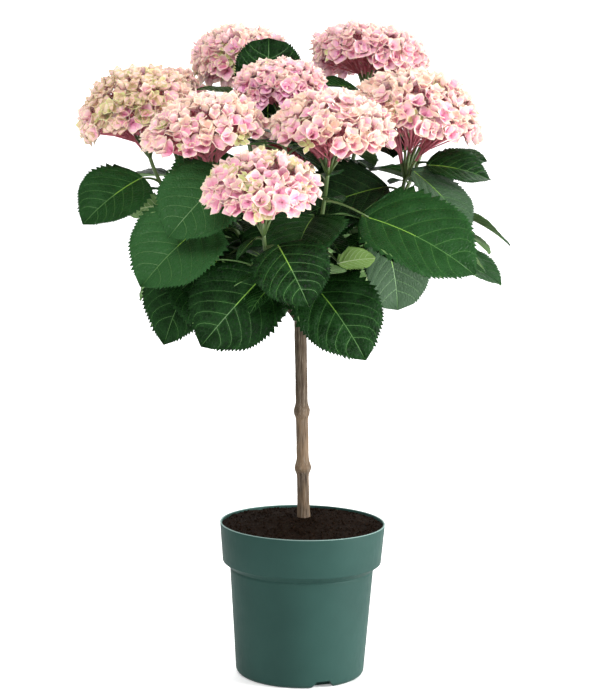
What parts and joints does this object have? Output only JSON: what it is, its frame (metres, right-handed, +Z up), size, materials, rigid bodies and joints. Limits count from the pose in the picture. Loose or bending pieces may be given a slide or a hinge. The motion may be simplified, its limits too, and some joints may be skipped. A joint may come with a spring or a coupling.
{
  "type": "potted hydrangea on a stem",
  "caption": "Flowering hydrangea grown as a small standard: a woody stem under a crown of toothed leaves and domed pink flower heads, in a round nursery pot.",
  "frame": {"origin": "centre of the pot's flat underside", "axes": "+Z up along the plant, -Y towards the side that faces the viewer, +X to the viewer's right"},
  "size_m": [0.5001, 0.5126, 0.7498],
  "materials": {
    "pot_plastic": "dark green moulded plastic, satin",
    "soil": "crumbly dark peat",
    "bark": "grey-brown fibrous bark",
    "flower_and_leaf": "soft pink and cream petals over dark green leaves"
  },
  "bodies": {
    "root": {"pot": "pot_plastic", "soil": "soil", "trunk": "bark", "left_bough": "bark", "near_left_bough": "bark", "front_bough": "bark", "back_left_bough": "bark", "middle_bough": "bark", "near_right_bough": "bark", "right_bough": "bark", "back_right_bough": "bark", "back_bough": "bark", "far_left_bough": "bark", "far_right_bough": "bark", "left_shoot": "flower_and_leaf", "near_left_shoot": "flower_and_leaf", "front_shoot": "flower_and_leaf", "back_left_shoot": "flower_and_leaf", "middle_shoot": "flower_and_leaf", "near_right_shoot": "flower_and_leaf", "right_shoot": "flower_and_leaf", "back_right_shoot": "flower_and_leaf", "back_shoot": "flower_and_leaf", "far_left_shoot": "flower_and_leaf", "far_right_shoot": "flower_and_leaf"}
  },
  "joints": []
}
